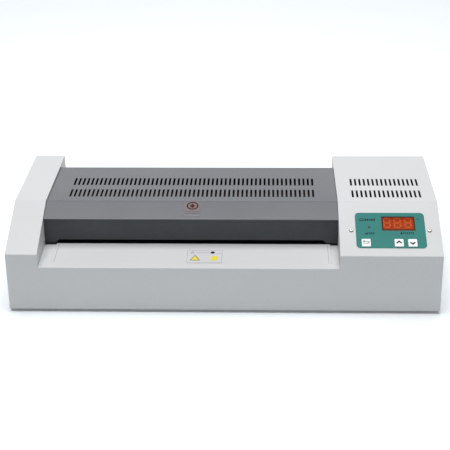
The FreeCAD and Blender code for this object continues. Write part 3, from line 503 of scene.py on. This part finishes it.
def rect(x, y, width, height):
    """Corners of a rectangle around its middle."""
    left, right = x - width / 2, x + width / 2
    low, high = y - height / 2, y + height / 2
    return [(left, low), (right, low), (right, high), (left, high)]


def round_rect(x, y, width, height, radius, steps=5):
    """Rectangle with rounded corners."""
    points = []
    for quarter, (side_x, side_y) in enumerate(((1, 1), (-1, 1), (-1, -1), (1, -1))):
        centre = (x + side_x * (width / 2 - radius), y + side_y * (height / 2 - radius))
        for step in range(steps + 1):
            angle = math.pi / 2 * (quarter + step / steps)
            points.append((centre[0] + radius * math.cos(angle),
                           centre[1] + radius * math.sin(angle)))
    return points


OVAL_STEPS = 40


def oval(x, y, radius_x, radius_y):
    """Ellipse around its middle."""
    turns = [2 * math.pi * step / OVAL_STEPS for step in range(OVAL_STEPS)]
    return [(x + radius_x * math.cos(turn), y + radius_y * math.sin(turn)) for turn in turns]


def stroke(points, width):
    """Band of even width along an open line of points."""
    left = []
    right = []
    for index, (x, y) in enumerate(points):
        before = Vector(points[max(index - 1, 0)])
        after = Vector(points[min(index + 1, len(points) - 1)])
        run = (after - before).normalized()
        here = Vector((x, y))
        side = Vector((-run.y, run.x)) * width / 2
        if 0 < index < len(points) - 1:
            first = (here - before).normalized()
            side /= max(0.5, math.cos(first.angle(run)))
        left.append(tuple(here + side))
        right.append(tuple(here - side))
    return left + right[::-1]


def grown(outline, factor, middle):
    """Outline scaled about a point."""
    return [(middle[0] + (x - middle[0]) * factor, middle[1] + (y - middle[1]) * factor)
            for x, y in outline]


def filled(form, place, outline, depth):
    """Solid of one outline in millimetres, from the face outwards."""
    low = [form.verts.new(place @ Vector((x * MM, y * MM, 0))) for x, y in outline]
    high = [form.verts.new(place @ Vector((x * MM, y * MM, depth))) for x, y in outline]
    form.faces.new(high)
    form.faces.new(low[::-1])
    for index in range(len(outline)):
        after = (index + 1) % len(outline)
        form.faces.new((low[index], low[after], high[after], high[index]))


def band(form, place, outer, inner, depth):
    """Solid between two outlines with the same number of points."""
    rings = []
    for outline, height in ((outer, 0.0), (outer, depth), (inner, depth), (inner, 0.0)):
        rings.append([form.verts.new(place @ Vector((x * MM, y * MM, height))) for x, y in outline])
    for index in range(len(outer)):
        after = (index + 1) % len(outer)
        for ring, following in zip(rings, rings[1:] + rings[:1]):
            form.faces.new((ring[index], ring[after], following[after], following[index]))


INK_DEPTH = 0.06 * MM


def flat_shapes(name, place, body, material, fills=(), bands=(), depth=INK_DEPTH):
    """Flat solids on a face, as thin as ink unless a depth is given."""
    def build(form):
        for outline in fills:
            filled(form, place, outline, depth)
        for outer, inner in bands:
            band(form, place, outer, inner, depth)
    return mesh_piece(name, build, body, material)


def key_symbols():
    """Plain dark symbols on the three keys: turn back, up and down."""
    for key, body, way in (("key_up", "up_key", 1), ("key_down", "down_key", -1)):
        chevron = [(-2.9, -1.5 * way), (0.0, 1.6 * way), (2.9, -1.5 * way)]
        flat_shapes(body.replace("_key", "_symbol"), on_face(key, (0.0, 0.6 * way, 0.0)), body,
                    INK_BLACK, [stroke(chevron, 1.9)])
    turns = [math.pi * (0.5 - step / 8) for step in range(9)]
    bend = [(1.9 + 1.5 * math.cos(turn), 1.5 * math.sin(turn)) for turn in turns]
    line = [(-2.0, 1.5)] + bend + [(-3.6, -1.5)]
    head = [(-1.8, 3.1), (-4.4, 1.5), (-1.8, -0.1)]
    flat_shapes("reverse_symbol", on_face("key_reverse", (0.0, 0.5, 0.0)), "reverse_key",
                INK_SLATE, [stroke(line, 0.9), head])


def bar_row(start, y, heights, width, pitch):
    """Row of small upright bars."""
    return [rect(start + width / 2 + pitch * index, y, width, height)
            for index, height in enumerate(heights)]


def overlay_marks():
    """Small generic marks printed on the control panel."""
    place = on_face("panel_overlay")
    pouch = (round_rect(-33.2, 16.4, 4.8, 4.0, 0.6), round_rect(-33.2, 16.4, 3.0, 2.2, 0.3))
    bars = bar_row(-29.6, 16.4, (3.6, 3.6, 2.6, 3.6, 3.6), 1.7, 2.65)
    tick = stroke([(-30.2, -5.2), (-28.6, -6.6), (-26.2, -3.6)], 1.0)
    dots = bar_row(-25.0, -5.05, 3 * (2.6,), 1.4, 2.15)
    bulb = oval(12.4, -5.6, 1.2, 1.2)
    stem = rect(12.4, -3.8, 0.9, 3.0)
    scale = bar_row(14.4, -4.6, 6 * (2.6,), 1.2, 2.3)
    degree = (oval(33.0, 17.8, 1.1, 1.1), oval(33.0, 17.8, 0.6, 0.6))
    flat_shapes("overlay_marks", place, "chassis", INK_BLACK,
                bars + [tick, bulb, stem] + dots + scale, [pouch, degree])


def hood_marks():
    """Generic round mark, two rules and a lower edge on the hood's label."""
    place = on_face("hood_label")
    ring = (oval(0.3, 5.2, 7.2, 6.9), oval(0.3, 5.2, 5.4, 5.1))
    middle = [(0.3, 9.2), (-3.0, 5.0), (0.3, 0.8), (3.6, 5.0)]
    flat_shapes("hood_mark", place, "chassis", INK_RED, [middle], [ring])
    rules = [rect(0.6, -5.2, 17.4, 0.9), rect(0.6, -8.8, 17.4, 1.1)]
    flat_shapes("hood_mark_rules", place, "chassis", INK_SLATE, rules)
    flat_shapes("hood_mark_edge", place, "chassis", INK_GREY,
                [rect(0.3, -11.7, 18.6, 0.9)])


def tray_marks():
    """Generic frame, triangle, square and oval on the tray's label."""
    place = on_face("tray_label")
    border = (rect(0.2, -0.9, 41.6, 28.4), rect(0.2, -0.9, 40.8, 27.5))
    triangle = [(-17.2, -9.8), (-4.6, -9.8), (-11.1, 3.0)]
    triangle_middle = (-10.97, -5.53)
    small = [(-17.0, 6.3), (-12.2, 6.3), (-14.8, 12.4)]
    small_middle = (-14.7, 8.3)
    flat_shapes("tray_mark_lines", place, "chassis", INK_GREY,
                [rect(-2.6, 8.1, 14.0, 0.7), rect(17.0, 6.7, 6.0, 0.7)],
                [border, (small, grown(small, 0.45, small_middle))])
    flat_shapes("tray_mark_edge", place, "chassis", INK_OLIVE, [],
                [(triangle, grown(triangle, 0.76, triangle_middle))])
    flat_shapes("tray_mark_yellow", place, "chassis", INK_YELLOW,
                [grown(triangle, 0.74, triangle_middle),
                 round_rect(11.7, -4.8, 8.6, 10.2, 1.6)])
    flat_shapes("tray_mark_dot", place, "chassis", INK_BLACK,
                [oval(9.4, 8.6, 2.6, 2.5)])


def rocker_marks():
    """Bar and ring on the two halves of the mains switch."""
    bar = [rect(0, 0, 0.7, 3.4)]
    ring = [(oval(0, 0, 1.7, 1.7), oval(0, 0, 1.05, 1.05))]
    halves = (("rocker_bar", Vector((0, 0.9, -0.4)), bar, []),
              ("rocker_ring", Vector((0, 0.9, 0.4)), [], ring))
    for name, facing, fills, bands in halves:
        outward, polygons = face_group("switch_rocker", facing)
        area = sum(polygon.area for polygon in polygons)
        middle = sum((polygon.center * polygon.area for polygon in polygons), Vector()) / area
        place = Matrix.Translation(middle) @ Matrix(face_axes(outward)).transposed().to_4x4()
        flat_shapes(name, place, "rocker", INK_WHITE, fills, bands)


def segment(x, y, length, width, upright):
    """Six-sided bar of a numeral."""
    half = length / 2
    side = width / 2
    points = [(-half, 0), (-half + side, -side), (half - side, -side), (half, 0),
              (half - side, side), (-half + side, side)]
    if upright:
        points = [(-across, along) for along, across in points]
    return [(x + px, y + py) for px, py in points]


def display_face():
    """Plate close under the window, with three numerals of seven bars on it."""
    lens_under = -3.6         # underside of the window, from its upper face
    plate_thick = 0.9
    plate = rect(0, 0, 38.6, 24.1)
    pitch = 12.5
    height = 14.3
    width = 7.0
    bar = 1.7
    place = on_face("display_window", (0.0, 2.5, lens_under - plate_thick))
    flat_shapes("display_face", place, "chassis", FINISHES["display_block"],
                [plate], depth=plate_thick * MM)
    fills = []
    for digit in (-1, 0, 1):
        for row in (-1, 0, 1):
            fills.append(segment(digit * pitch, row * height / 2, width - bar * 0.5, bar, False))
        for side in (-1, 1):
            for half in (-1, 1):
                fills.append(segment(digit * pitch + side * width / 2, half * height / 4,
                                     height / 2 - bar * 0.5, bar, True))
    flat_shapes("display_digits", on_face("display_window", (-0.5, 4.3, lens_under)), "chassis",
                DIGIT_LIGHT, fills)


def window_border():
    """Dark printed edge around the display window."""
    low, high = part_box("display_window")
    along = face_axes(face_group("display_window", UP)[0])[1]
    reach = [vertex.co.dot(along) / MM for vertex in NODES["display_window"].data.vertices]
    width = (high.x - low.x) / MM
    height = max(reach) - min(reach)
    border = (rect(0, 0, width - 0.4, height - 0.4), rect(0, 0, width - 2.8, height - 3.2))
    flat_shapes("window_border", on_face("display_window"), "chassis", INK_BROWN,
                bands=[border])


def plate_seam_shadows():
    """Painted shade: a fine grey strip along each side of the feed plate for the shadow its edge casts,
    and a grey line just inside it for the shading of a crease.
    """
    low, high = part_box("feed_plate")
    edge = (high.x - low.x) / 2 / MM
    plate_thick = 0.6
    middle = 1.5
    length = 42.0
    # Painted shade: grey strips beside the plate's edges stand for their shadow, and grey lines inside
    # stand for a crease's shading.
    seam_shadows = [rect(side * (edge + 0.2), middle, 0.3, length) for side in (-1, 1)]
    crease_shading = [rect(side * (edge - 3.0), middle, 0.6, length) for side in (-1, 1)]
    flat_shapes("plate_seam_shadows", on_face("feed_plate", (0.0, 0.0, -plate_thick)), "chassis",
                INK_PAINTED_SHADE, seam_shadows)
    flat_shapes("plate_crease_shading", on_face("feed_plate"), "chassis", INK_PAINTED_SHADE,
                crease_shading)


def hood_hem():
    """Return fold along the lower edge of the hood's rear wall."""
    low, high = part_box("hood")
    sheet = 1.2 * MM
    inner = high.y - 11.0 * MM
    outer = high.y - sheet
    place = Matrix.Translation(((low.x + high.x) / 2, (inner + outer) / 2, low.z))
    hem = rect(0, 0, (high.x - low.x) / MM, (outer - inner) / MM)
    flat_shapes("hood_hem", place, "chassis", FINISHES["hood_paint"], [hem],
                depth=sheet)


# ---------------------------------------------------------------- springs and contacts
COIL_R = 3.3 * MM
WIRE_R = 0.5 * MM
COIL_TURNS = 5
COIL_STEPS = 20
DEAD_TURN = 0.75          # closed part of a turn at each end
WIRE_SIDES = 8


def coil_spring(form, middle_x, middle_y, low_z, high_z):
    """Compression spring with closed ends, as a round wire along a helix."""
    count = COIL_TURNS * COIL_STEPS
    rings = []
    for step in range(count + 1):
        share = step / count
        climb = (share * COIL_TURNS - DEAD_TURN) / (COIL_TURNS - 2 * DEAD_TURN)
        climb = min(max(climb, 0.0), 1.0)
        level = low_z + WIRE_R + (high_z - low_z - 2 * WIRE_R) * climb
        turn = 2 * math.pi * share * COIL_TURNS
        out = Vector((math.cos(turn), math.sin(turn), 0))
        centre = Vector((middle_x, middle_y, level)) + out * COIL_R
        ring = []
        for side in range(WIRE_SIDES):
            angle = 2 * math.pi * side / WIRE_SIDES
            around = out * math.cos(angle) + Vector((0, 0, math.sin(angle)))
            ring.append(form.verts.new(centre + around * WIRE_R))
        rings.append(ring)
    for ring, following in zip(rings, rings[1:]):
        for side in range(WIRE_SIDES):
            after = (side + 1) % WIRE_SIDES
            form.faces.new((ring[side], ring[after], following[after], following[side]))
    form.faces.new(rings[0])
    form.faces.new(rings[-1][::-1])


def carriage_springs(end):
    """Coil springs above one upper roller's blocks, in place of the part's plain shape, which is hidden.
    """
    node = end + "_pressure_springs"
    low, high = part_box(node)
    inset = COIL_R + WIRE_R

    def build(form):
        for x in (low.x + inset, high.x - inset):
            coil_spring(form, x, (low.y + high.y) / 2, low.z, high.z)

    piece = mesh_piece(end + "_coil_springs", build, "chassis",
                       FINISHES["spring_steel"])
    for polygon in piece.data.polygons:
        polygon.use_smooth = True
    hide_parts(node)
    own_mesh(piece)


def inlet_pins():
    """Plated skin over the three pins inside the mains inlet."""
    low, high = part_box("power_inlet")
    middle_x = (low.x + high.x) / 2
    middle_z = (low.z + high.z) / 2
    root = 17.9
    skin = 0.05
    section = round_rect(0, 0, 2.0 + 2 * skin, 4.0 + 2 * skin, 0.15, 2)
    length = 13.9 + skin

    def build(form):
        for x, up in ((0.0, 1.6), (-7.0, -1.6), (7.0, -1.6)):
            place = Matrix.Translation((middle_x + x * MM, high.y - root * MM, middle_z + up * MM))
            filled(form, place @ Matrix.Rotation(math.radians(-90), 4, "X"), section, length * MM)

    mesh_piece("inlet_pins", build, "chassis", FINISHES["screw_steel"])


# ---------------------------------------------------------------- stage
def add_floor():
    """Plain pale floor under the feet, with a faint glow so that it stays white."""
    finish = Finish("floor", 0.95)
    finish.tint(finish.noise(1.5, 2.0), shade(FLOOR_COLOUR, 0.995), FLOOR_COLOUR)
    finish.sheen_level(0.1)
    finish.glow((1, 1, 1), FLOOR_GLOW)
    mesh = bpy.data.meshes.new("floor")
    corners = [(-FLOOR_HALF, -FLOOR_HALF, 0), (FLOOR_HALF, -FLOOR_HALF, 0),
               (FLOOR_HALF, FLOOR_HALF, 0), (-FLOOR_HALF, FLOOR_HALF, 0)]
    mesh.from_pydata(corners, [], [(0, 1, 2, 3)])
    mesh.materials.append(finish.material)
    floor = bpy.data.objects.new("floor", mesh)
    bpy.context.scene.collection.objects.link(floor)


def add_softbox(name, place, target, size, power):
    """Oblong area light that faces a point."""
    light = bpy.data.lights.new(name, "AREA")
    light.shape = "RECTANGLE"
    light.size, light.size_y = size
    light.energy = power
    lamp = bpy.data.objects.new(name, light)
    lamp.location = place
    lamp.rotation_euler = (Vector(target) - Vector(place)).to_track_quat("-Z", "Y").to_euler()
    bpy.context.scene.collection.objects.link(lamp)


def add_light():
    """Soft studio light: a box overhead, a white wall behind and a dim room."""
    for softbox in SOFTBOXES:
        add_softbox(*softbox)
    world = bpy.data.worlds.new("studio")
    world.use_nodes = True
    background = world.node_tree.nodes["Background"].inputs
    background["Color"].default_value = (*WORLD_COLOUR, 1)
    background["Strength"].default_value = WORLD_STRENGTH
    bpy.context.scene.world = world


def add_camera():
    """Camera above the feed side, looking down at the front."""
    forward = Vector((math.sin(CAMERA_YAW) * math.cos(CAMERA_PITCH),
                      math.cos(CAMERA_YAW) * math.cos(CAMERA_PITCH), math.sin(CAMERA_PITCH)))
    level = Vector((math.cos(CAMERA_YAW), -math.sin(CAMERA_YAW), 0))
    upright = level.cross(forward)
    right = level * math.cos(CAMERA_ROLL) + upright * math.sin(CAMERA_ROLL)
    up = upright * math.cos(CAMERA_ROLL) - level * math.sin(CAMERA_ROLL)
    lens = bpy.data.cameras.new("camera")
    lens.lens = LENS_MM
    lens.sensor_width = SENSOR_MM
    camera = bpy.data.objects.new("camera", lens)
    turned = Matrix((right, up, -forward)).transposed().to_4x4()
    camera.matrix_world = Matrix.Translation(CAMERA_AT) @ turned
    bpy.context.scene.collection.objects.link(camera)
    bpy.context.scene.camera = camera


add_camera()
add_light()
add_floor()
bpy.context.scene.view_settings.view_transform = "Standard"
finish_cad_nodes()
for node_name, edge_width in SOFT_EDGES.items():
    soften(NODES[node_name], edge_width * MM)
key_symbols()
overlay_marks()
hood_marks()
tray_marks()
display_face()
window_border()
rocker_marks()
inlet_pins()
hood_hem()
plate_seam_shadows()
carriage_springs("front")
carriage_springs("rear")
